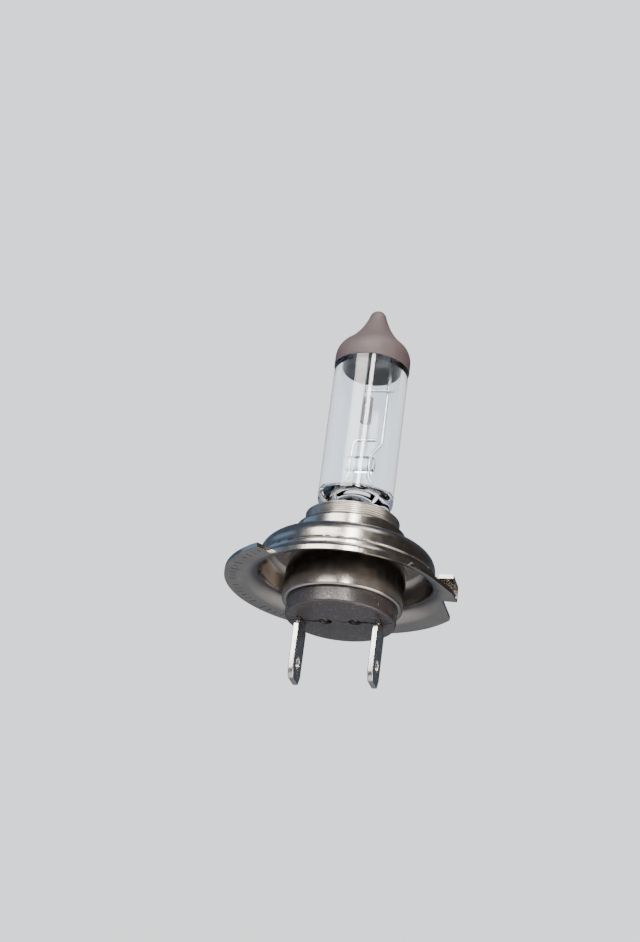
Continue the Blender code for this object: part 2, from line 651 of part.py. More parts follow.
def main():
    remove_startup_objects()
    parts = new_collection("headlight_bulb")
    cutters = new_collection("cutters")
    glass = material("quartz_glass", (0.9, 0.93, 0.95), 0.03, 0.0, 1.0)
    paint = material("shade_paint", (0.11, 0.09, 0.08), 0.7, 0.0)
    tungsten = material("tungsten", (0.35, 0.35, 0.37), 0.35, 1.0)
    molybdenum = material("molybdenum", (0.55, 0.55, 0.56), 0.3, 1.0)
    nickel = material("nickel_wire", (0.5, 0.48, 0.45), 0.3, 1.0)
    steel = material("nickel_plated_steel", (0.52, 0.5, 0.47), 0.28, 1.0)
    spring = material("spring_steel", (0.4, 0.4, 0.4), 0.35, 1.0)
    plastic = material("insulator_resin", (0.035, 0.03, 0.03), 0.5, 0.0)
    tinned = material("tinned_brass", (0.62, 0.6, 0.56), 0.3, 1.0)

    make_glass(parts, cutters, glass)
    make_coating(parts, paint)
    make_filament(parts, tungsten)
    make_support_wires(parts, molybdenum)
    make_bridge(parts, cutters, glass)
    make_clamp(parts, cutters, spring)
    make_collar(parts, steel)
    make_shell(parts, cutters, steel)
    make_ring(parts, cutters, steel)
    make_insulator(parts, cutters, plastic)
    for side, word in ((-1, "left"), (1, "right")):
        make_foil_and_lead(side, word, parts, molybdenum, nickel)
        make_strap(side, word, parts, nickel)
        make_blade(side, word, parts, cutters, tinned)


main()
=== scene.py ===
"""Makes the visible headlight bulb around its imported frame, and the studio it stands in.

Laid out as a Blender add-on and run as a script. Lengths are in metres. The bulb's axis is Z.
"""

import math

import bmesh
import bpy
from bpy.props import FloatProperty, FloatVectorProperty, IntProperty, PointerProperty
from bpy.types import Operator, Panel, PropertyGroup
from mathutils import Matrix, Vector


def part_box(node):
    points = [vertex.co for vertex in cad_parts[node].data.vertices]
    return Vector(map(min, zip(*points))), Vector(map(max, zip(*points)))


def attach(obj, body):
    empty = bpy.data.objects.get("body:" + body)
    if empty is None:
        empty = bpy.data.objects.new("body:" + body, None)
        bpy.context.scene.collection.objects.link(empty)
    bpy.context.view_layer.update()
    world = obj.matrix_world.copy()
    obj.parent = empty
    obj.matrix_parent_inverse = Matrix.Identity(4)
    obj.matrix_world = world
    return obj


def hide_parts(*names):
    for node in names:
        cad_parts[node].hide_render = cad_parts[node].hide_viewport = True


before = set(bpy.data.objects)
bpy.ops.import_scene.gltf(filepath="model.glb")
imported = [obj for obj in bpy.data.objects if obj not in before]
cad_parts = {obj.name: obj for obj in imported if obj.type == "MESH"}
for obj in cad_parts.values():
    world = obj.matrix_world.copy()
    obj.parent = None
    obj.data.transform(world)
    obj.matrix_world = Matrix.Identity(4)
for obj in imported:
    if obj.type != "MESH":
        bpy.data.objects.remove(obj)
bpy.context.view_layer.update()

bl_info = {
    "name": "Headlight bulb",
    "version": (1, 0, 0),
    "blender": (4, 5, 0),
    "location": "3D View > Sidebar > Bulb",
    "description": "Builds a halogen headlight bulb piece by piece",
    "category": "Object",
}

MM = 0.001
AXIS = (0.0, 0.0, 1.0)
CENTRE = (0.0, 0.0, 0.0)


def linear(hex_colour):
    """sRGB hex to linear RGB."""
    channels = [int(hex_colour[i : i + 2], 16) / 255 for i in (1, 3, 5)]
    return tuple(c / 12.92 if c <= 0.04045 else ((c + 0.055) / 1.055) ** 2.4 for c in channels)


def colour(name, description, hex_colour):
    return FloatVectorProperty(
        name=name,
        description=description,
        subtype="COLOR",
        size=3,
        min=0.0,
        max=1.0,
        default=linear(hex_colour),
    )


def length(name, description, millimetres):
    return FloatProperty(
        name=name,
        description=description,
        default=millimetres * MM,
        min=0.0,
        unit="LENGTH",
        subtype="DISTANCE",
        precision=5,
    )


def low_of(node):
    return Vector(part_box(node)[0])


def high_of(node):
    return Vector(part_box(node)[1])


class BulbSizes(PropertyGroup):
    """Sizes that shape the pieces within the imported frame."""

    glass_wall: length("Glass wall", "Wall of the quartz tube", 1.0)
    dome_radius: length("Dome radius", "Round shoulder of the dome, in section", 3.0)
    tip_fillet: length("Tip fillet", "Hollow curve below the exhaust tip, in section", 11.0)
    tip_radius: length("Tip radius", "Radius of the sealed exhaust tip", 1.05)
    cavity_floor: length("Cavity floor", "Height of the bottom of the gas space", 13.4)
    tube_end: length("Tube end", "Height where the tube narrows into the pinch", 11.6)
    coating: length("Coating", "Thickness of the shade coating", 0.1)
    wire: length("Wire", "Radius of the support wires", 0.25)
    filament_wire: length("Filament wire", "Radius of the filament's wire", 0.11)
    coil_turns: IntProperty(
        name="Coil turns", description="Turns of the filament", default=14, min=2, max=60
    )
    sheet: length("Sheet", "Thickness of the pressed ring", 0.6)
    shell_wall: length("Shell wall", "Wall of the drawn shell and the collar", 0.5)
    edge: length("Edge", "Rounding of stamped and moulded edges", 0.09)
    blade_hole: length("Blade hole", "Radius of the detent hole in a blade", 0.95)


class BulbColours(PropertyGroup):
    """Base colours of the finishes."""

    nickel: colour("Nickel plate", "Plating on the cap and the ring", "#8e8984")
    nickel_dull: colour("Dull nickel", "Clouded patches of the plating", "#79746f")
    turned: colour("Turned nickel", "Collar with tool marks", "#979089")
    paint: colour("Shade paint", "Heat-proof coating over the tip", "#453b3c")
    paint_dark: colour("Shade paint, thin", "Thin patches of the coating", "#352e2f")
    quartz: colour("Quartz", "Clear glass", "#f7fbff")
    tungsten: colour("Tungsten", "Filament", "#b5adad")
    molybdenum: colour("Molybdenum", "Support wires", "#e2e2e4")
    resin: colour("Insulator resin", "Moulded insulator", "#262122")
    resin_fleck: colour("Resin fleck", "Glass fibre showing at the surface", "#6d6664")
    tin: colour("Tin", "Plating on the blades", "#aba8a4")
    floor: colour("Floor", "Plain studio floor", "#e9eaec")


class BulbSettings(PropertyGroup):
    sizes: PointerProperty(type=BulbSizes)
    colours: PointerProperty(type=BulbColours)


def sizes():
    return bpy.context.scene.headlight_bulb.sizes


def colours():
    return bpy.context.scene.headlight_bulb.colours


# Modelling by hand, with the usual tools of edit mode


def only(obj):
    """Makes this object the one that the next tool works on."""
    if bpy.context.mode != "OBJECT":
        bpy.ops.object.mode_set(mode="OBJECT")
    bpy.ops.object.select_all(action="DESELECT")
    obj.select_set(True)
    bpy.context.view_layer.objects.active = obj


def start_point(name, place):
    """Starts a mesh with one selected point, in edit mode."""
    bpy.ops.object.select_all(action="DESELECT")
    bpy.ops.mesh.primitive_plane_add(size=MM, location=place)
    obj = bpy.context.object
    obj.name = obj.data.name = name
    bpy.ops.object.mode_set(mode="EDIT")
    bpy.ops.mesh.select_mode(type="VERT")
    bpy.ops.mesh.merge(type="CENTER")
    return obj


def draw_along(points):
    """Extrudes the selected point along a line of points."""
    for before, after in zip(points, points[1:]):
        step = Vector(after) - Vector(before)
        bpy.ops.mesh.extrude_vertices_move(TRANSFORM_OT_translate={"value": step})


def select(obj, test):
    """Selects the points of the open mesh that pass a test of their place."""
    bpy.ops.mesh.select_mode(type="VERT")
    shape = bmesh.from_edit_mesh(obj.data)
    place = obj.matrix_world
    for vert in shape.verts:
        vert.select_set(False)
    chosen = [vert for vert in shape.verts if test(place @ vert.co)]
    for vert in chosen:
        vert.select_set(True)
    shape.select_flush(True)
    bmesh.update_edit_mesh(obj.data)
    if not chosen:
        raise RuntimeError(f"{obj.name}: nothing was selected")


def close_line(obj):
    """Joins the last point of a drawn line to its first."""
    shape = bmesh.from_edit_mesh(obj.data)
    for vert in shape.verts:
        vert.select_set(len(vert.link_edges) == 1)
    shape.select_flush(True)
    bmesh.update_edit_mesh(obj.data)
    bpy.ops.mesh.edge_face_add()


def tidy_mesh():
    """Closes poles and seams, and turns the faces outwards. The mesh is open in edit mode."""
    bpy.ops.mesh.select_all(action="SELECT")
    bpy.ops.mesh.remove_doubles(threshold=0.002 * MM)
    bpy.ops.mesh.normals_make_consistent(inside=False)


def settle(obj):
    """Leaves edit mode with the object at the origin and its place in its mesh."""
    only(obj)
    bpy.ops.object.transform_apply(location=True, rotation=True, scale=True)
    return obj


def turned(name, profile, steps, closed=False):
    """Draws half a section and spins it about the bulb's axis."""
    points = [(radius, 0.0, z) for radius, z in profile]
    obj = start_point(name, points[0])
    draw_along(points)
    if closed:
        close_line(obj)
    bpy.ops.mesh.select_all(action="SELECT")
    bpy.ops.mesh.spin(steps=steps, angle=2 * math.pi, center=CENTRE, axis=AXIS)
    tidy_mesh()
    return settle(obj)


def plate(name, outline, depth):
    """Draws an outline, fills it and extrudes it by this step."""
    obj = start_point(name, outline[0])
    draw_along(outline)
    close_line(obj)
    bpy.ops.mesh.select_all(action="SELECT")
    bpy.ops.mesh.edge_face_add()
    bpy.ops.mesh.extrude_region_move(TRANSFORM_OT_translate={"value": depth})
    tidy_mesh()
    return settle(obj)


def peg(name, radius, start, end, sides=32):
    """Round peg between two points, for drilling or for building up a boss."""
    start, end = Vector(start), Vector(end)
    along = end - start
    bpy.ops.object.select_all(action="DESELECT")
    bpy.ops.mesh.primitive_cylinder_add(
        vertices=sides,
        radius=radius,
        depth=along.length,
        location=(start + end) / 2,
        rotation=along.to_track_quat("Z", "Y").to_euler(),
    )
    obj = bpy.context.object
    obj.name = obj.data.name = name
    return settle(obj)


def bar(name, size, place, turn=0.0):
    """Small block of this size, turned about the bulb's axis by an angle in degrees."""
    bpy.ops.object.select_all(action="DESELECT")
    angle = math.radians(turn)
    bpy.ops.mesh.primitive_cube_add(
        size=1.0,
        location=Matrix.Rotation(angle, 3, "Z") @ Vector(place),
        rotation=(0.0, 0.0, angle),
        scale=size,
    )
    obj = bpy.context.object
    obj.name = obj.data.name = name
    return settle(obj)


def combine(obj, operation, others):
    for other in others:
        only(obj)
        step = obj.modifiers.new(other.name, "BOOLEAN")
        step.operation = operation
        step.solver = "EXACT"
        step.object = other
        bpy.ops.object.modifier_apply(modifier=step.name)
        bpy.data.objects.remove(other, do_unlink=True)


def cut(obj, *others):
    combine(obj, "DIFFERENCE", others)


def build_up(obj, *others):
    combine(obj, "UNION", others)


def join(obj, *others):
    """Makes several meshes one object without cutting them."""
    only(obj)
    for other in others:
        other.select_set(True)
    bpy.ops.object.join()
    return obj


def break_edges(obj, width, segments=2, angle=38.0):
    """Rounds the sharp edges a little, as tumbling or moulding leaves them."""
    only(obj)
    step = obj.modifiers.new("edges", "BEVEL")
    step.width = width
    step.segments = segments
    step.limit_method = "ANGLE"
    step.angle_limit = math.radians(angle)
    step.harden_normals = False
    bpy.ops.object.modifier_apply(modifier=step.name)


def drawn_wire(name, points, radius, roundness=5):
    """Bent wire: a drawn line given a round section."""
    obj = start_point(name, points[0])
    draw_along(points)
    settle(obj)
    bpy.ops.object.convert(target="CURVE")
    obj = bpy.context.object
    obj.data.bevel_depth = radius
    obj.data.bevel_resolution = roundness
    obj.data.use_fill_caps = True
    bpy.ops.object.convert(target="MESH")
    obj = bpy.context.object
    obj.name = obj.data.name = name
    bpy.ops.object.mode_set(mode="EDIT")
    tidy_mesh()
    return settle(obj)


def finish_piece(obj, finish, nodes, smooth=32.0):
    """Shades the piece, gives it its finish and ties it to the frame."""
    only(obj)
    bpy.ops.object.shade_smooth_by_angle(angle=math.radians(smooth))
    step = obj.modifiers.new("flats", "WEIGHTED_NORMAL")
    step.keep_sharp = True
    bpy.ops.object.modifier_apply(modifier=step.name)
    obj.data.materials.clear()
    obj.data.materials.append(finish)
    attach(obj, "root")
    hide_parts(*nodes)
    obj.select_set(False)
    return obj


def arc(centre_r, centre_z, radius, start, end, count):
    """Points of an arc in section, from a start to an end angle in degrees."""
    angles = [math.radians(start + (end - start) * i / count) for i in range(count + 1)]
    return [(centre_r + radius * math.cos(a), centre_z + radius * math.sin(a)) for a in angles]


def around(radius, angle, z):
    turn = math.radians(angle)
    return Vector((radius * math.cos(turn), radius * math.sin(turn), z))


def softened(points, radius, count=5):
    """Line of points with its inner corners rounded."""
    points = [Vector(point) for point in points]
    line = [points[0]]
    for before, corner, after in zip(points, points[1:], points[2:]):
        a, b = before - corner, after - corner
        half = a.angle(b) / 2
        run = min(radius / math.tan(half), a.length * 0.45, b.length * 0.45)
        first, last = corner + a.normalized() * run, corner + b.normalized() * run
        for i in range(count + 1):
            t = i / count
            line.append(first * (1 - t) ** 2 + corner * 2 * t * (1 - t) + last * t**2)
    return line + [points[-1]]


# Finishes


def node(tree, kind, inputs=None, **settings):
    """Adds a node, with its settings, its values and its links."""
    made = tree.nodes.new(kind)
    for name, value in settings.items():
        setattr(made, name, value)
    for socket, value in (inputs or {}).items():
        if isinstance(value, bpy.types.NodeSocket):
            tree.links.new(value, made.inputs[socket])
        else:
            made.inputs[socket].default_value = value
    return made


def new_finish(name, constants):
    finish = bpy.data.materials.new(name)
    finish.use_nodes = True
    tree = finish.node_tree
    shader = tree.nodes["Principled BSDF"]
    for socket, value in constants.items():
        shader.inputs[socket].default_value = value
    return finish, tree, shader


def placed(tree, scale):
    """Object coordinates in repeats per metre along each axis."""
    where = node(tree, "ShaderNodeTexCoord").outputs["Object"]
    return node(tree, "ShaderNodeMapping", {"Vector": where, "Scale": scale}).outputs["Vector"]


def noise(tree, size, detail=2.0, stretch=(1.0, 1.0, 1.0), roughness=0.5):
    """Noise whose grains are about this size, in metres."""
    scale = tuple(part / size for part in stretch)
    made = node(
        tree,
        "ShaderNodeTexNoise",
        {"Vector": placed(tree, scale), "Scale": 1.0, "Detail": detail, "Roughness": roughness},
    )
    return made.outputs["Fac"]


def spread(tree, value, low, high, to_low, to_high):
    made = node(
        tree,
        "ShaderNodeMapRange",
        {"Value": value, "From Min": low, "From Max": high, "To Min": to_low, "To Max": to_high},
    )
    return made.outputs["Result"]


def blend(tree, factor, first, second):
    made = node(tree, "ShaderNodeMix", data_type="RGBA")
    for socket, value in ((0, factor), (6, first), (7, second)):
        if isinstance(value, bpy.types.NodeSocket):
            tree.links.new(value, made.inputs[socket])
        else:
            made.inputs[socket].default_value = (*value, 1.0)
    return made.outputs[2]


def relief(tree, height, depth, strength=1.0, before=None):
    """Bump of this depth in metres."""
    inputs = {"Height": height, "Distance": depth, "Strength": strength}
    if before is not None:
        inputs["Normal"] = before
    return node(tree, "ShaderNodeBump", inputs).outputs["Normal"]


def drawn_nickel_plate():
    """Nickel on drawn steel: satin sheen, soft clouds from the bath and fine drawing lines."""
    tones = colours()
    finish, tree, shader = new_finish("drawn_nickel_plate", {"Metallic": 1.0})
    clouds = noise(tree, 5.0 * MM, 3.0)
    tint = spread(tree, clouds, 0.42, 0.72, 0.0, 0.65)
    lines = noise(tree, 0.22 * MM, 2.0, (0.12, 0.12, 1.0))
    base = blend(tree, tint, tones.nickel[:], tones.nickel_dull[:])
    smudge = noise(tree, 1.1 * MM, 4.0)
    tree.links.new(base, shader.inputs["Base Color"])
    tree.links.new(spread(tree, smudge, 0.35, 0.7, 0.2, 0.27), shader.inputs["Roughness"])
    dents = relief(tree, clouds, 0.015 * MM, 0.3)
    tree.links.new(relief(tree, lines, 0.0012 * MM, 0.5, dents), shader.inputs["Normal"])
    return finish


def turned_nickel_plate():
    """Nickel on a turned sleeve: tight tool rings that draw the highlight out into streaks."""
    tones = colours()
    finish, tree, shader = new_finish("turned_nickel_plate", {"Metallic": 1.0})
    rings = noise(tree, 0.17 * MM, 3.0, (0.02, 0.02, 1.0), 0.7)
    stains = noise(tree, 1.6 * MM, 4.0, (0.5, 0.5, 1.0))
    tint = spread(tree, stains, 0.45, 0.75, 0.0, 0.8)
    base = blend(tree, tint, tones.turned[:], tones.nickel_dull[:])
    tree.links.new(base, shader.inputs["Base Color"])
    tree.links.new(spread(tree, rings, 0.3, 0.7, 0.2, 0.38), shader.inputs["Roughness"])
    tree.links.new(relief(tree, rings, 0.012 * MM, 0.6), shader.inputs["Normal"])
    return finish


def shade_paint():
    """Sprayed heat-proof coating: matt, chalky grain with thinner, darker patches."""
    tones = colours()
    finish, tree, shader = new_finish(
        "heat_proof_shade_paint", {"IOR": 1.5, "Specular IOR Level": 0.35}
    )
    patches = noise(tree, 2.4 * MM, 3.0)
    grain = noise(tree, 0.16 * MM, 2.0)
    tint = spread(tree, patches, 0.4, 0.75, 0.0, 0.55)
    base = blend(tree, tint, tones.paint[:], tones.paint_dark[:])
    speck = spread(tree, grain, 0.3, 0.75, 0.0, 0.35)
    tree.links.new(blend(tree, speck, base, tones.paint_dark[:]), shader.inputs["Base Color"])
    tree.links.new(spread(tree, grain, 0.3, 0.7, 0.5, 0.72), shader.inputs["Roughness"])
    tree.links.new(relief(tree, grain, 0.02 * MM, 0.7), shader.inputs["Normal"])
    return finish


def fused_quartz():
    """Fused quartz, flame worked: clear and colourless, with long faint ripples of the draw."""
    tones = colours()
    finish, tree, shader = new_finish(
        "fused_quartz", {"Transmission Weight": 1.0, "IOR": 1.458, "Roughness": 0.0}
    )
    shader.inputs["Base Color"].default_value = (*tones.quartz[:], 1.0)
    ripple = noise(tree, 4.0 * MM, 0.0, (1.0, 1.0, 0.12))
    tree.links.new(relief(tree, ripple, 0.02 * MM, 0.3), shader.inputs["Normal"])
    return finish


def drawn_wire_metal(name, tone, rough):
    """Drawn wire: bright metal with die lines along its length and faint heat tint."""
    finish, tree, shader = new_finish(name, {"Metallic": 1.0})
    lines = noise(tree, 0.1 * MM, 2.0, (1.0, 1.0, 0.1))
    shade = noise(tree, 1.3 * MM, 2.0)
    dull = tuple(part * 0.72 for part in tone)
    tint = spread(tree, shade, 0.4, 0.7, 0.0, 0.7)
    tree.links.new(blend(tree, tint, tone, dull), shader.inputs["Base Color"])
    tree.links.new(spread(tree, lines, 0.3, 0.7, rough, rough + 0.14), shader.inputs["Roughness"])
    tree.links.new(relief(tree, lines, 0.006 * MM, 0.6), shader.inputs["Normal"])
    return finish


def moulded_resin():
    """Glass-filled moulded resin: dark, half matt, with pale fibre flecks and a fine spark texture."""
    tones = colours()
    finish, tree, shader = new_finish("glass_filled_resin", {"IOR": 1.55})
    flecks = noise(tree, 0.32 * MM, 3.0)
    clouds = noise(tree, 3.5 * MM, 2.0)
    tint = spread(tree, flecks, 0.62, 0.74, 0.0, 0.7)
    shade = tuple(part * 0.6 for part in tones.resin)
    base = blend(tree, spread(tree, clouds, 0.4, 0.7, 0.0, 1.0), tones.resin[:], shade)
    tree.links.new(blend(tree, tint, base, tones.resin_fleck[:]), shader.inputs["Base Color"])
    tree.links.new(spread(tree, flecks, 0.3, 0.7, 0.5, 0.3), shader.inputs["Roughness"])
    tree.links.new(relief(tree, flecks, 0.03 * MM, 0.6), shader.inputs["Normal"])
    return finish


def tinned_brass():
    """Tin over stamped brass: bright, with rubbing marks along the blade from plugging in."""
    tones = colours()
    finish, tree, shader = new_finish("tinned_brass", {"Metallic": 1.0})
    rubs = noise(tree, 0.18 * MM, 3.0, (1.0, 1.0, 0.06), 0.6)
    bloom = noise(tree, 1.8 * MM, 3.0)
    dull = tuple(part * 0.62 for part in tones.tin)
    tint = spread(tree, bloom, 0.42, 0.72, 0.0, 0.7)
    tree.links.new(blend(tree, tint, tones.tin[:], dull), shader.inputs["Base Color"])
    tree.links.new(spread(tree, rubs, 0.3, 0.7, 0.16, 0.34), shader.inputs["Roughness"])
    tree.links.new(relief(tree, rubs, 0.004 * MM, 0.5), shader.inputs["Normal"])
    return finish


def once(make, *details):
    """The finish that a function makes, made only the first time."""
    key = details[0] if details else make.__name__
    if key not in FINISHES:
        FINISHES[key] = make(*details)
    return FINISHES[key]


FINISHES = {}


# The pieces


def tip_outline(offset, fine=3):
    """Outer section of the glass from its tip down to the straight tube, moved out by an offset."""
    shape = sizes()
    glass = high_of("glass_envelope")
    lip = math.radians(16.0)
    rise = shape.tip_radius * 0.6
    joined = shape.dome_radius + shape.tip_fillet
    reach = shape.dome_radius + shape.tip_fillet * math.cos(lip) - glass.x + shape.tip_radius
    bend = math.acos(reach / joined)
    fillet_z = glass.z - rise + shape.tip_fillet * math.sin(lip)
    dome_z = fillet_z - joined * math.sin(bend)
    fillet = arc(
        shape.tip_radius + shape.tip_fillet * math.cos(lip),
        fillet_z,
        shape.tip_fillet - offset,
        180 + math.degrees(lip),
        180 + math.degrees(bend),
        6 * fine,
    )
    round_r = glass.x - shape.dome_radius
    dome = arc(round_r, dome_z, shape.dome_radius + offset, math.degrees(bend), 0, 8 * fine)
    top = [
        (shape.tip_radius * out, glass.z + offset - rise * down)
        for out, down in ((0, 0), (0.25, 0.03), (0.47, 0.13), (0.68, 0.28), (0.85, 0.5), (0.96, 0.76))
    ]
    return top + fillet + dome[1:], dome_z


class BULB_OT_envelope(Operator):
    """Blow the quartz envelope, with its exhaust tip, gas space and flat pinch"""

    bl_idname = "bulb.envelope"
    bl_label = "Glass envelope"

    def execute(self, context):
        shape = sizes()
        glass_low, glass_high = low_of("glass_envelope"), high_of("glass_envelope")
        radius = glass_high.x
        outline, dome_z = tip_outline(0.0)
        outer = turned("glass_envelope_piece", outline + [(radius, shape.tube_end + 1.0 * MM)], 96)
        self.pinch(outer, glass_low, radius)

        inside = radius - shape.glass_wall
        floor = shape.cavity_floor
        flatness, steps = 0.68, 12
        vault = [
            (inside * math.cos(a), dome_z + inside * flatness * math.sin(a))
            for a in (math.pi / 2 * (1 - i / steps) for i in range(steps + 1))
        ]
        vault[0] = (0.0, vault[0][1])
        bottom = [
            (inside, floor + 1.0 * MM),
            (inside * 0.985, floor + 0.5 * MM),
            (inside * 0.95, floor + 0.1 * MM),
            (inside * 0.88, floor - 0.2 * MM),
            (inside * 0.78, floor - 0.3 * MM),
            (inside * 0.67, floor - 0.24 * MM),
            (inside * 0.56, floor - 0.1 * MM),
            (inside * 0.45, floor - 0.02 * MM),
            (inside * 0.25, floor),
            (0.0, floor),
        ]
        space = turned("gas_space", vault + bottom, 96)
        only(space)
        bpy.ops.object.mode_set(mode="EDIT")
        bpy.ops.mesh.select_all(action="SELECT")
        bpy.ops.mesh.flip_normals()
        bpy.ops.object.mode_set(mode="OBJECT")
        join(outer, space)
        finish_piece(outer, once(fused_quartz), ["glass_envelope"], 60.0)
        return {"FINISHED"}

    def pinch(self, outer, low, radius):
        """Presses the open end of the tube flat, a little narrower at each step down."""
        shape = sizes()
        half_width = 5.0 * MM
        half_depth = 1.7 * MM
        only(outer)
        bpy.ops.object.mode_set(mode="EDIT")
        z = shape.tube_end + 1.0 * MM
        select(outer, lambda place: abs(place.z - z) < 0.01 * MM)
        # step down in millimetres, then the width and the depth as shares of the tube's
        stations = [
            (0.45, 0.985, 0.97),
            (0.4, 0.955, 0.9),
            (0.35, 0.93, 0.78),
            (0.35, 0.92, 0.62),
            (0.4, 0.92, 0.47),
            (0.6, half_width / radius, half_depth / radius * 1.12),
        ]
        width, depth = 1.0, 1.0
        for drop, wide, deep in stations:
            z -= drop * MM
            bpy.ops.mesh.extrude_region_move(
                TRANSFORM_OT_translate={"value": (0.0, 0.0, -drop * MM)}
            )
            bpy.ops.transform.resize(
                value=(wide / width, deep / depth, 1.0), center_override=(0.0, 0.0, z)
            )
            width, depth = wide, deep
        for side in (-1, 1):
            level = z
            select(
                outer,
                lambda place: abs(place.z - level) < 0.01 * MM and place.y * side > 0.9 * MM,
            )
            bpy.ops.transform.resize(
                value=(1.0, 0.0, 1.0), center_override=(0.0, side * half_depth, z)
            )
        select(outer, lambda place: abs(place.z - z) < 0.01 * MM)
        drop = z - low.z
        bpy.ops.mesh.extrude_region_move(TRANSFORM_OT_translate={"value": (0.0, 0.0, -drop)})
        bpy.ops.mesh.edge_face_add()
        tidy_mesh()
        settle(outer)


class BULB_OT_coating(Operator):
    """Spray the shade coating over the tip"""

    bl_idname = "bulb.coating"
    bl_label = "Shade coating"

    def execute(self, context):
        shape = sizes()
        low, high = low_of("shade_coating"), high_of("shade_coating")
        gap = high.x - high_of("glass_envelope").x - shape.coating
        inner, _ = tip_outline(gap)
        outer, _ = tip_outline(gap + shape.coating)
        lip = shape.coating / 2
        rim = [
            (outer[-1][0], low.z + lip),
            (outer[-1][0] - lip * 0.4, low.z + lip * 0.3),
            (inner[-1][0] + lip * 0.6, low.z),
            (inner[-1][0], low.z + lip * 0.3),
        ]
        coat = turned("shade_coating_piece", outer + rim + inner[::-1], 128)
        finish_piece(coat, once(shade_paint), ["shade_coating"])
        return {"FINISHED"}


class BULB_OT_filament(Operator):
    """Wind the filament, with a straight leg at each end"""

    bl_idname = "bulb.filament"
    bl_label = "Filament"

    def execute(self, context):
        shape = sizes()
        low, high = low_of("filament_coil"), high_of("filament_coil")
        radius = high.x - shape.filament_wire
        coil_low = 25.0 * MM
        coil_high = coil_low + 4.1 * MM
        front = -(shape.wire + shape.filament_wire + 0.03 * MM)
        start = math.asin(front / radius)
        sweep = 2 * math.pi * shape.coil_turns + (math.pi - 2 * start) % (2 * math.pi)
        count = round(sweep / (2 * math.pi) * 20)
        coil = []
        for i in range(count + 1):
            angle = start + sweep * i / count
            z = coil_low + (coil_high - coil_low) * i / count
            coil.append((radius * math.cos(angle), radius * math.sin(angle), z))
        lower = (coil[0][0], coil[0][1], low.z)
        upper = (coil[-1][0], coil[-1][1], high.z)
        line = [lower] + coil + [upper]
        wound = drawn_wire("filament_coil_piece", line, shape.filament_wire, 3)
        tone = colours().tungsten[:]
        finish = once(drawn_wire_metal, "coiled_tungsten", tone, 0.38)
        finish_piece(wound, finish, ["filament_coil"], 60.0)
        return {"FINISHED"}


class BULB_OT_supports(Operator):
    """Bend the support wires and weld the cross wire on"""

    bl_idname = "bulb.supports"
    bl_label = "Support wires"

    def execute(self, context):
        shape = sizes()
        finish = once(drawn_wire_metal, "drawn_molybdenum", colours().molybdenum[:], 0.22)
        behind = 2 * shape.wire + 0.03 * MM
        corner = 0.9 * MM
        short_low, short_high = low_of("short_support_wire"), high_of("short_support_wire")
        level = short_high.z - shape.wire
        rise = -1.25 * MM
        short = self.foot(-1, short_low.z)
        short += [(rise, 0.0, level), (short_high.x, 0.0, level)]
        made = drawn_wire("short_support_wire_piece", softened(short, corner, 7), shape.wire)
        finish_piece(made, finish, ["short_support_wire"], 60.0)

        long_low, long_high = low_of("long_support_wire"), high_of("long_support_wire")
        x = long_high.x - shape.wire
        bend = 21.8 * MM
        long = self.foot(1, long_low.z)
        long += [(x, behind, bend), (x, behind, long_high.z)]
        made = drawn_wire("long_support_wire_piece", softened(long, corner, 7), shape.wire)
        finish_piece(made, finish, ["long_support_wire"], 60.0)

        cross_low, cross_high = low_of("upper_cross_wire"), high_of("upper_cross_wire")
        z = (cross_low.z + cross_high.z) / 2
        made = drawn_wire(
            "upper_cross_wire_piece", [(cross_low.x, 0.0, z), (cross_high.x, 0.0, z)], shape.wire
        )
        break_edges(made, 0.06 * MM, 2, 60.0)
        finish_piece(made, finish, ["upper_cross_wire"], 50.0)
        return {"FINISHED"}

    def foot(self, side, start_z):
        """Lower part of a support wire, from its foil up through the glass bridge."""
        shape = sizes()
        bridge_low, bridge_high = low_of("glass_bridge"), high_of("glass_bridge")
        x = side * 2.13 * MM
        y = shape.wire + 0.08 * MM
        bridge_x = side * 1.4 * MM
        return [
            (x, y, start_z),
            (x, y, shape.cavity_floor + 0.4 * MM),
            (bridge_x, 0.0, bridge_low.z - 0.3 * MM),
            (bridge_x, 0.0, bridge_high.z + 0.3 * MM),
        ]


class BULB_OT_bridge(Operator):
    """Melt the glass bridge around the two support wires"""

    bl_idname = "bulb.bridge"
    bl_label = "Glass bridge"

    def execute(self, context):
        low, high = low_of("glass_bridge"), high_of("glass_bridge")
        size, middle = high - low, (high + low) / 2
        bead = bar("glass_bridge_piece", size, middle)
        only(bead)
        bpy.ops.object.mode_set(mode="EDIT")
        bpy.ops.mesh.select_all(action="SELECT")
        bpy.ops.mesh.bevel(offset=0.72 * MM, segments=6, profile=0.5)
        bpy.ops.object.mode_set(mode="OBJECT")
        finish_piece(bead, once(fused_quartz), ["glass_bridge"], 60.0)
        return {"FINISHED"}


class BULB_OT_collar(Operator):
    """Turn the focusing collar, with its fine rings"""

    bl_idname = "bulb.collar"
    bl_label = "Focusing collar"

    def execute(self, context):
        shape = sizes()
        low, high = low_of("focusing_collar"), high_of("focusing_collar")
        radius = high.x
        inner = radius - shape.shell_wall
        top = high.z
        profile = [(inner, top - 0.1 * MM), (inner + 0.1 * MM, top), (radius - 0.16 * MM, top)]
        pitch = 0.3 * MM
        land, valley = 0.42, 0.7  # as shares of the pitch
        groove = 0.055 * MM
        z = top - 0.14 * MM
        seat = high_of("cap_shell").z
        while z > seat - pitch:
            profile += [(radius, z), (radius, z - pitch * land), (radius - groove, z - pitch * valley)]
            z -= pitch
        profile += [(radius, z), (radius, low.z), (inner, low.z)]
        sleeve = turned("focusing_collar_piece", profile, 160, True)
        finish_piece(
            sleeve, once(turned_nickel_plate), ["focusing_collar"], 48.0
        )
        return {"FINISHED"}


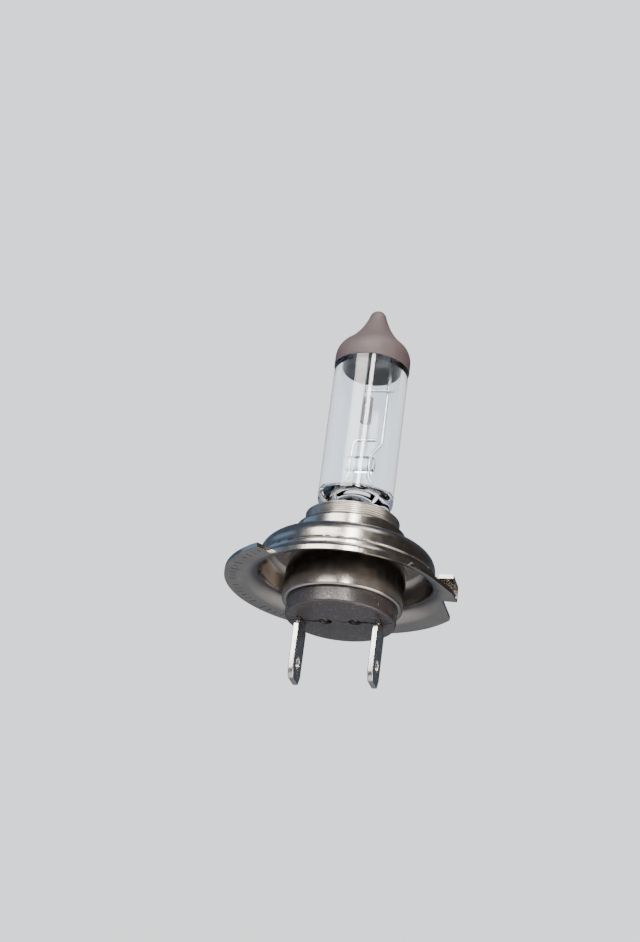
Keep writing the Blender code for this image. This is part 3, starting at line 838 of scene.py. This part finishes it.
class BULB_OT_shell(Operator):
    """Draw the cap shell: the neck above the ring and the ferrule below it"""

    bl_idname = "bulb.shell"
    bl_label = "Cap shell"

    def execute(self, context):
        shape = sizes()
        low, high = low_of("cap_shell"), high_of("cap_shell")
        wall = shape.shell_wall
        neck = 7.9 * MM
        ferrule = 8.5 * MM
        mouth = high_of("focusing_collar").x + 0.05 * MM
        step = 2.4 * MM
        lip = 0.55 * MM
        crimp = 0.35 * MM
        outer = [(mouth, high.z - 0.08 * MM), (mouth + 0.08 * MM, high.z)]
        outer += arc(neck - lip, high.z - lip, lip, 90, 0, 8)
        outer += arc(neck + 0.35 * MM, step + 0.9 * MM, 0.35 * MM, 180, 235, 4)
        outer += arc(ferrule - 0.5 * MM, step - 0.35 * MM, 0.5 * MM, 55, 0, 5)
        outer += arc(ferrule - crimp, low.z + crimp, crimp, 0, -90, 6)
        inner_low, inner_high = ferrule - wall, neck - wall
        inner = [(high_of("insulator_body").x + 0.05 * MM, low.z)]
        inner += [(inner_low, low.z + crimp), (inner_low, step - wall / 2)]
        inner += [(inner_high, step + 0.4 * MM), (inner_high, high.z - wall), (mouth, high.z - wall)]
        shell = turned("cap_shell_piece", outer + inner, 160, True)
        height = 6.3 * MM
        for angle in (-140, 40):
            build_up(shell, self.weld_dimple(around(neck, angle, height)))
        finish_piece(shell, once(drawn_nickel_plate), ["cap_shell"])
        return {"FINISHED"}

    def weld_dimple(self, place):
        """Low round bump pressed out of the neck."""
        bpy.ops.object.select_all(action="DESELECT")
        bpy.ops.mesh.primitive_uv_sphere_add(
            segments=40,
            ring_count=20,
            radius=1.0,
            location=place,
            rotation=(0.0, math.pi / 2, math.atan2(place.y, place.x)),
            scale=(0.95 * MM, 0.95 * MM, 0.25 * MM),
        )
        obj = bpy.context.object
        obj.name = obj.data.name = "weld_dimple"
        return settle(obj)


class BULB_OT_ring(Operator):
    """Press the centring ring: crown, shoulder, flared foot, flange, notch, bosses and lug"""

    bl_idname = "bulb.ring"
    bl_label = "Prefocus ring"

    def execute(self, context):
        shape = sizes()
        ring = turned("prefocus_ring_piece", self.section(), 240, True)
        low, high = low_of("prefocus_ring"), high_of("prefocus_ring")
        top = -0.4 * MM
        radius = -low.x
        cut(ring, self.trim(radius, high.x, top))
        self.stamp(ring, radius, low.z)
        boss_circle, boss_radius = radius - 1.4 * MM, 0.9 * MM
        for angle in (62.0, 150.0, 230.0):
            start = around(boss_circle, angle, top - shape.sheet / 2)
            end = around(boss_circle, angle, 0.0)
            build_up(ring, peg("seat_boss", boss_radius, start, end, 40))
        build_up(ring, *self.lug(high.x, top))
        break_edges(ring, shape.edge)
        finish_piece(
            ring, once(drawn_nickel_plate), ["prefocus_ring"], 40.0
        )
        return {"FINISHED"}

    def section(self):
        """Section of the pressed sheet, outside from the crown to the rim and back inside."""
        shape = sizes()
        low, high = low_of("prefocus_ring"), high_of("prefocus_ring")
        top = -0.4 * MM
        hole = 7.95 * MM
        radius = -low.x
        shoulder = radius - 4.5 * MM
        foot = 1.7 * MM
        turn = 2.2 * MM
        shoulder_z = 2.5 * MM
        crown_r = shoulder - turn
        lean = math.degrees(math.atan((high.z - shoulder_z - turn * 0.8) / (crown_r - hole)))
        crown = arc(crown_r, shoulder_z, turn, 90 - lean, 0, 14)
        bead = [(shoulder, top + foot + 0.5 * MM), (shoulder + 0.1 * MM, top + foot + 0.25 * MM)]
        flare = arc(shoulder + foot, top + foot, foot, 176, 270, 12)
        outer = [(hole, high.z)] + crown + bead + flare
        under = arc(shoulder + foot, top + foot, foot + shape.sheet, 270, 180, 12)
        under += arc(crown_r, shoulder_z, turn - shape.sheet, 0, 90 - lean, 10)
        rim = [(radius, top), (radius, top - shape.sheet)]
        return outer + rim + under + [(hole, high.z - shape.sheet)]

    def trim(self, radius, tab_x, top):
        """Block that cuts the flange back along its near side, and the notch beyond the tab."""
        shape = sizes()
        inside = radius - 2.7 * MM
        far = radius * 1.6
        count = 40
        first, last = -123.0, -20.0
        line = [around(inside, first + (last - first) * i / count, 0.0) for i in range(count + 1)]
        tab_end = 3.45 * MM
        lean = 0.25 * MM
        notch_x = radius - 3.55 * MM
        line.append(Vector((tab_x - lean, 0.3 * MM, 0.0)))
        line.append(Vector((tab_x, tab_end, 0.0)))
        line.append(Vector((notch_x, tab_end - lean, 0.0)))
        line.append(Vector((notch_x, far, 0.0)))
        line.append(Vector((far, far, 0.0)))
        line.append(Vector((far, -far, 0.0)))
        line.append(around(far, first, 0.0))
        base = top - 3 * shape.sheet
        outline = [(point.x, point.y, base) for point in line]
        return plate("trim", outline, (0.0, 0.0, 3 * shape.sheet + 1.5 * MM))

    def stamp(self, ring, radius, face_z):
        """Row of plain tick marks pressed into the underside."""
        places, group = 26, 7
        first, pitch = 128.0, 4.4
        across = 0.16 * MM
        marks = []
        for i in range(places):
            if i % group == group - 1:
                continue
            tall = 1.1 * MM if i % 3 else 0.7 * MM
            place = (radius - 1.25 * MM, 0.0, face_z)
            marks.append(bar("tick", (tall, across, across), place, first + i * pitch))
        cut(ring, join(*marks))

    def lug(self, tab_x, top):
        """Lug folded up from the end of the tab and back over it."""
        sheet = sizes().sheet
        long = 2.05 * MM
        x = tab_x - long / 2
        high = top + 1.05 * MM + sheet
        end_y = 3.35 * MM
        start_y = -1.2 * MM
        fold = 0.45 * MM
        upright = bar(
            "lug_upright",
            (long, sheet, high - fold - top + sheet / 2),
            (x, end_y - sheet / 2, (high - fold + top - sheet / 2) / 2),
        )
        tongue = bar(
            "lug_tongue",
            (long, end_y - fold - start_y, sheet),
            (x, (end_y - fold + start_y) / 2, high - sheet / 2),
        )
        bend = [(tab_x - long, y, z) for y, z in arc(end_y - fold, high - fold, fold, 0, 90, 6)]
        bend += [(tab_x - long, end_y - sheet - 0.2 * MM, high - sheet)]
        bend += [(tab_x - long, end_y - sheet, high - fold - 0.2 * MM)]
        corner = plate("lug_bend", bend, (long, 0.0, 0.0))
        return upright, tongue, corner


class BULB_OT_insulator(Operator):
    """Mould the insulator, with its blade slots, its seam and its two pockets"""

    bl_idname = "bulb.insulator"
    bl_label = "Insulator"

    def execute(self, context):
        low, high = low_of("insulator_body"), high_of("insulator_body")
        radius = high.x
        edge = 0.35 * MM
        profile = [(0.0, high.z), (radius, high.z)]
        profile += arc(radius - edge, low.z + edge, edge, 0, -90, 6)
        profile += [(0.0, low.z)]
        body = turned("insulator_body_piece", profile, 128)
        lead_x, lead_y = 2.13 * MM, 0.33 * MM
        strap_y = -0.04 * MM
        strap_start, strap_end = 1.88 * MM, 5.2 * MM
        span = strap_end - strap_start
        beyond = 1.0 * MM
        for side in (-1, 1):
            blade_x = side * 5.6 * MM
            depth = 8.0 * MM
            cut(body, bar("blade_slot", (0.8 * MM, 3.1 * MM, depth), (blade_x, 0.0, low.z)))
            end = (side * lead_x, strap_y, low.z + 1.3 * MM)
            start = (side * lead_x, strap_y, low.z - beyond)
            cut(body, peg("pocket", 0.95 * MM, start, end, 36))
            place = (side * (strap_start + span / 2), strap_y, low.z)
            cut(body, bar("strap_slot", (span, 0.36 * MM, 2.4 * MM), place))
            lead_start = (side * lead_x, lead_y, low.z - beyond)
            lead_end = (side * lead_x, lead_y, high.z + beyond)
            cut(body, peg("lead_hole", 0.3 * MM, lead_start, lead_end, 20))
        cut(body, self.seam(radius, low.z, strap_y))
        break_edges(body, 0.06 * MM, 2, 50.0)
        join(body, *self.wall_marks(radius, low.z))
        finish_piece(body, once(moulded_resin), ["insulator_body"], 40.0)
        return {"FINISHED"}

    def seam(self, radius, face_z, y):
        """Wandering groove where the two halves of the moulding meet."""
        half = radius * 0.96
        half_wide, depth = 0.09 * MM, 0.5 * MM
        start_z = face_z - 0.3 * MM
        count = 46
        upper, lower = [], []
        for i in range(count + 1):
            x = -half + 2 * half * i / count
            wave = 0.22 * MM * math.sin(x / MM * 1.35) + 0.1 * MM * math.sin(x / MM * 3.1 + 1.0)
            upper.append((x, y + wave + half_wide, start_z))
            lower.append((x, y + wave - half_wide, start_z))
        return plate("seam", upper + lower[::-1], (0.0, 0.0, depth))

    def wall_marks(self, radius, face_z):
        """Raised plain marks around the wall, in groups."""
        places, group = 30, 5
        first, pitch = -150.0, 5.2
        thick, sunk = 0.12 * MM, 0.04 * MM
        marks = []
        for i in range(places):
            if i % group == group - 1:
                continue
            tall = (0.8, 0.55, 0.8, 0.4)[i % 4] * MM
            wide = 0.22 * MM if i % 2 else 0.4 * MM
            place = (radius - sunk, 0.0, face_z + 1.15 * MM)
            mark = bar("mark", (thick, wide, tall), place, first + i * pitch)
            break_edges(mark, 0.03 * MM, 1)
            marks.append(mark)
        return marks


class BULB_OT_blades(Operator):
    """Stamp the two blades, with their necks, tapered ends and detent holes"""

    bl_idname = "bulb.blades"
    bl_label = "Blade terminals"

    def execute(self, context):
        low, high = low_of("blade_terminal_left"), high_of("blade_terminal_left")
        half = high.y
        neck = 1.5 * MM
        step = -6.9 * MM
        taper = 0.75 * MM
        right_side = [
            (neck, high.z),
            (neck, step + 0.15 * MM),
            (neck + 0.1 * MM, step + 0.03 * MM),
            (half - 0.35 * MM, step),
            (half - 0.08 * MM, step - 0.1 * MM),
            (half, step - 0.35 * MM),
            (half, low.z + 1.3 * MM),
            (half - taper, low.z),
        ]
        outline = [(low.x, y, z) for y, z in right_side]
        outline += [(low.x, -y, z) for y, z in right_side[::-1]]
        thick = high.x - low.x
        blade = plate("blade_terminal_left_piece", outline, (thick, 0.0, 0.0))
        middle = (low.x + high.x) / 2
        hole_z = low.z + 2.7 * MM
        start, end = (middle - thick, 0.0, hole_z), (middle + thick, 0.0, hole_z)
        cut(blade, peg("detent_hole", sizes().blade_hole, start, end, 48))
        break_edges(blade, 0.13 * MM, 3, 50.0)
        self.coin_neck(blade, middle, step)
        only(blade)
        bpy.ops.object.duplicate(linked=False)
        other = bpy.context.object
        other.name = other.data.name = "blade_terminal_right_piece"
        bpy.ops.transform.translate(value=(-2 * middle, 0.0, 0.0))
        settle(other)
        finish = once(tinned_brass)
        finish_piece(blade, finish, ["blade_terminal_left"], 30.0)
        finish_piece(other, finish, ["blade_terminal_right"], 30.0)
        return {"FINISHED"}

    def coin_neck(self, blade, middle, step):
        """Squeezes the neck a little thinner than the blade."""
        only(blade)
        bpy.ops.object.mode_set(mode="EDIT")
        select(blade, lambda place: place.z > step + 0.1 * MM)
        bpy.ops.transform.resize(value=(0.875, 1.0, 1.0), center_override=(middle, 0.0, 0.0))
        bpy.ops.object.mode_set(mode="OBJECT")


class BULB_OT_inner_metal(Operator):
    """Finish the foils, leads, straps and clamp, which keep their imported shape"""

    bl_idname = "bulb.inner_metal"
    bl_label = "Inner metal"

    def execute(self, context):
        tones = colours()
        foil = once(drawn_wire_metal, "molybdenum_foil", tones.molybdenum[:], 0.3)
        lead = once(drawn_wire_metal, "nickel_lead", tones.nickel[:], 0.3)
        spring = once(drawn_wire_metal, "spring_steel_strip", tones.nickel_dull[:], 0.34)
        wanted = {
            "foil_left": foil,
            "foil_right": foil,
            "outer_lead_left": lead,
            "outer_lead_right": lead,
            "weld_strap_left": lead,
            "weld_strap_right": lead,
            "burner_clamp": spring,
        }
        for name, finish in wanted.items():
            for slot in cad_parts[name].material_slots:
                slot.material = finish
        return {"FINISHED"}


# The studio


class BULB_OT_studio(Operator):
    """Set up the pale floor, the soft lights, the room around them and the camera"""

    bl_idname = "bulb.studio"
    bl_label = "Studio"

    def execute(self, context):
        self.floor()
        self.room(context)
        # name, azimuth, elevation, distance, width, height, brightness, tone
        self.softbox("key", -20, 27, 0.4, 0.22, 0.24, 17.0, "#fffaf4")
        self.softbox("strip", 15, 30, 0.42, 0.07, 0.36, 55.0, "#fffaf4")
        self.softbox("cool_side", -84, 12, 0.45, 0.3, 0.3, 1.1, "#9fc0ee")
        self.softbox("low_right", 66, 4, 0.42, 0.3, 0.1, 2.2, "#fff6ea")
        self.softbox("under_right", 62, -22, 0.36, 0.3, 0.12, 10.0, "#fff6ea")
        self.softbox("top", 40, 66, 0.42, 0.2, 0.16, 6.0, "#ffffff")
        self.camera(context)
        return {"FINISHED"}

    def floor(self):
        """Wide floor of matt paper, well below the bulb."""
        bpy.ops.object.select_all(action="DESELECT")
        bpy.ops.mesh.primitive_plane_add(size=6.0, location=(0.0, 0.0, -0.2))
        obj = bpy.context.object
        obj.name = obj.data.name = "studio_floor"
        settle(obj)
        finish, tree, shader = new_finish("pale_paper", {"Roughness": 0.9})
        mottle = noise(tree, 120 * MM, 2.0)
        pale = colours().floor[:]
        shade = tuple(part * 0.97 for part in pale)
        tree.links.new(blend(tree, mottle, pale, shade), shader.inputs["Base Color"])
        obj.data.materials.clear()
        obj.data.materials.append(finish)

    def room(self, context):
        """Pale room seen directly and through glass, and a dimmer one for what the metal mirrors."""
        world = bpy.data.worlds.new("studio_room")
        world.use_nodes = True
        tree = world.node_tree
        back = tree.nodes["Background"]
        ray = node(tree, "ShaderNodeLightPath").outputs
        seen = node(
            tree, "ShaderNodeMath", {0: ray["Is Camera Ray"], 1: ray["Is Transmission Ray"]},
            operation="MAXIMUM",
        ).outputs[0]
        where = node(tree, "ShaderNodeTexCoord").outputs["Generated"]
        across = node(tree, "ShaderNodeSeparateXYZ", {"Vector": where}).outputs["X"]
        side = spread(tree, across, -0.8, 0.8, 0.0, 1.0)
        dim = blend(tree, side, linear("#6d829c"), linear("#55504c"))
        tree.links.new(blend(tree, seen, dim, linear("#eef0f4")), back.inputs["Color"])
        tree.links.new(spread(tree, seen, 0.0, 1.0, 1.0, 1.7), back.inputs["Strength"])
        context.scene.world = world

    def softbox(self, name, azimuth, elevation, distance, width, height, brightness, tone):
        light = bpy.data.lights.new(name, "AREA")
        light.shape = "RECTANGLE"
        light.size, light.size_y = width, height
        light.energy = brightness * math.pi * width * height
        light.color = linear(tone)
        obj = bpy.data.objects.new(name, light)
        bpy.context.scene.collection.objects.link(obj)
        turn, rise = math.radians(azimuth), math.radians(elevation)
        away = Vector((math.sin(turn) * math.cos(rise), -math.cos(turn) * math.cos(rise), math.sin(rise)))
        obj.location = away * distance
        obj.rotation_euler = (-away).to_track_quat("-Z", "Y").to_euler()
        obj.visible_camera = False

    def camera(self, context):
        """Camera about 0.3 m away, below the ring and a little to the right, rolled a little."""
        place = Vector((66.53, -266.84, -109.86)) * MM
        aim = Vector((-5.371, -1.455, 16.571)) * MM
        roll = math.radians(7.70)
        lens = bpy.data.cameras.new("studio_camera")
        lens.lens = 80.48
        lens.sensor_width = 36.0
        lens.clip_start = 0.01
        lens.clip_end = 10.0
        obj = bpy.data.objects.new("studio_camera", lens)
        context.scene.collection.objects.link(obj)
        turn = (aim - place).to_track_quat("-Z", "Y").to_matrix().to_4x4()
        obj.matrix_world = Matrix.Translation(place) @ turn @ Matrix.Rotation(roll, 4, "Z")
        context.scene.camera = obj


class BULB_PT_panel(Panel):
    bl_label = "Headlight bulb"
    bl_idname = "BULB_PT_panel"
    bl_space_type = "VIEW_3D"
    bl_region_type = "UI"
    bl_category = "Bulb"

    def draw(self, context):
        for maker in OPERATORS:
            self.layout.operator(maker.bl_idname)
        settings = context.scene.headlight_bulb
        for group in (settings.sizes, settings.colours):
            box = self.layout.box()
            for name in group.__annotations__:
                box.prop(group, name)


OPERATORS = (
    BULB_OT_envelope,
    BULB_OT_coating,
    BULB_OT_filament,
    BULB_OT_supports,
    BULB_OT_bridge,
    BULB_OT_collar,
    BULB_OT_shell,
    BULB_OT_ring,
    BULB_OT_insulator,
    BULB_OT_blades,
    BULB_OT_inner_metal,
    BULB_OT_studio,
)
CLASSES = (BulbSizes, BulbColours, BulbSettings, *OPERATORS, BULB_PT_panel)


def register():
    for made in CLASSES:
        bpy.utils.register_class(made)
    bpy.types.Scene.headlight_bulb = PointerProperty(type=BulbSettings)


def unregister():
    del bpy.types.Scene.headlight_bulb
    for made in reversed(CLASSES):
        bpy.utils.unregister_class(made)


def main():
    register()
    for maker in OPERATORS:
        group, name = maker.bl_idname.split(".")
        getattr(getattr(bpy.ops, group), name)()


if __name__ == "__main__":
    main()
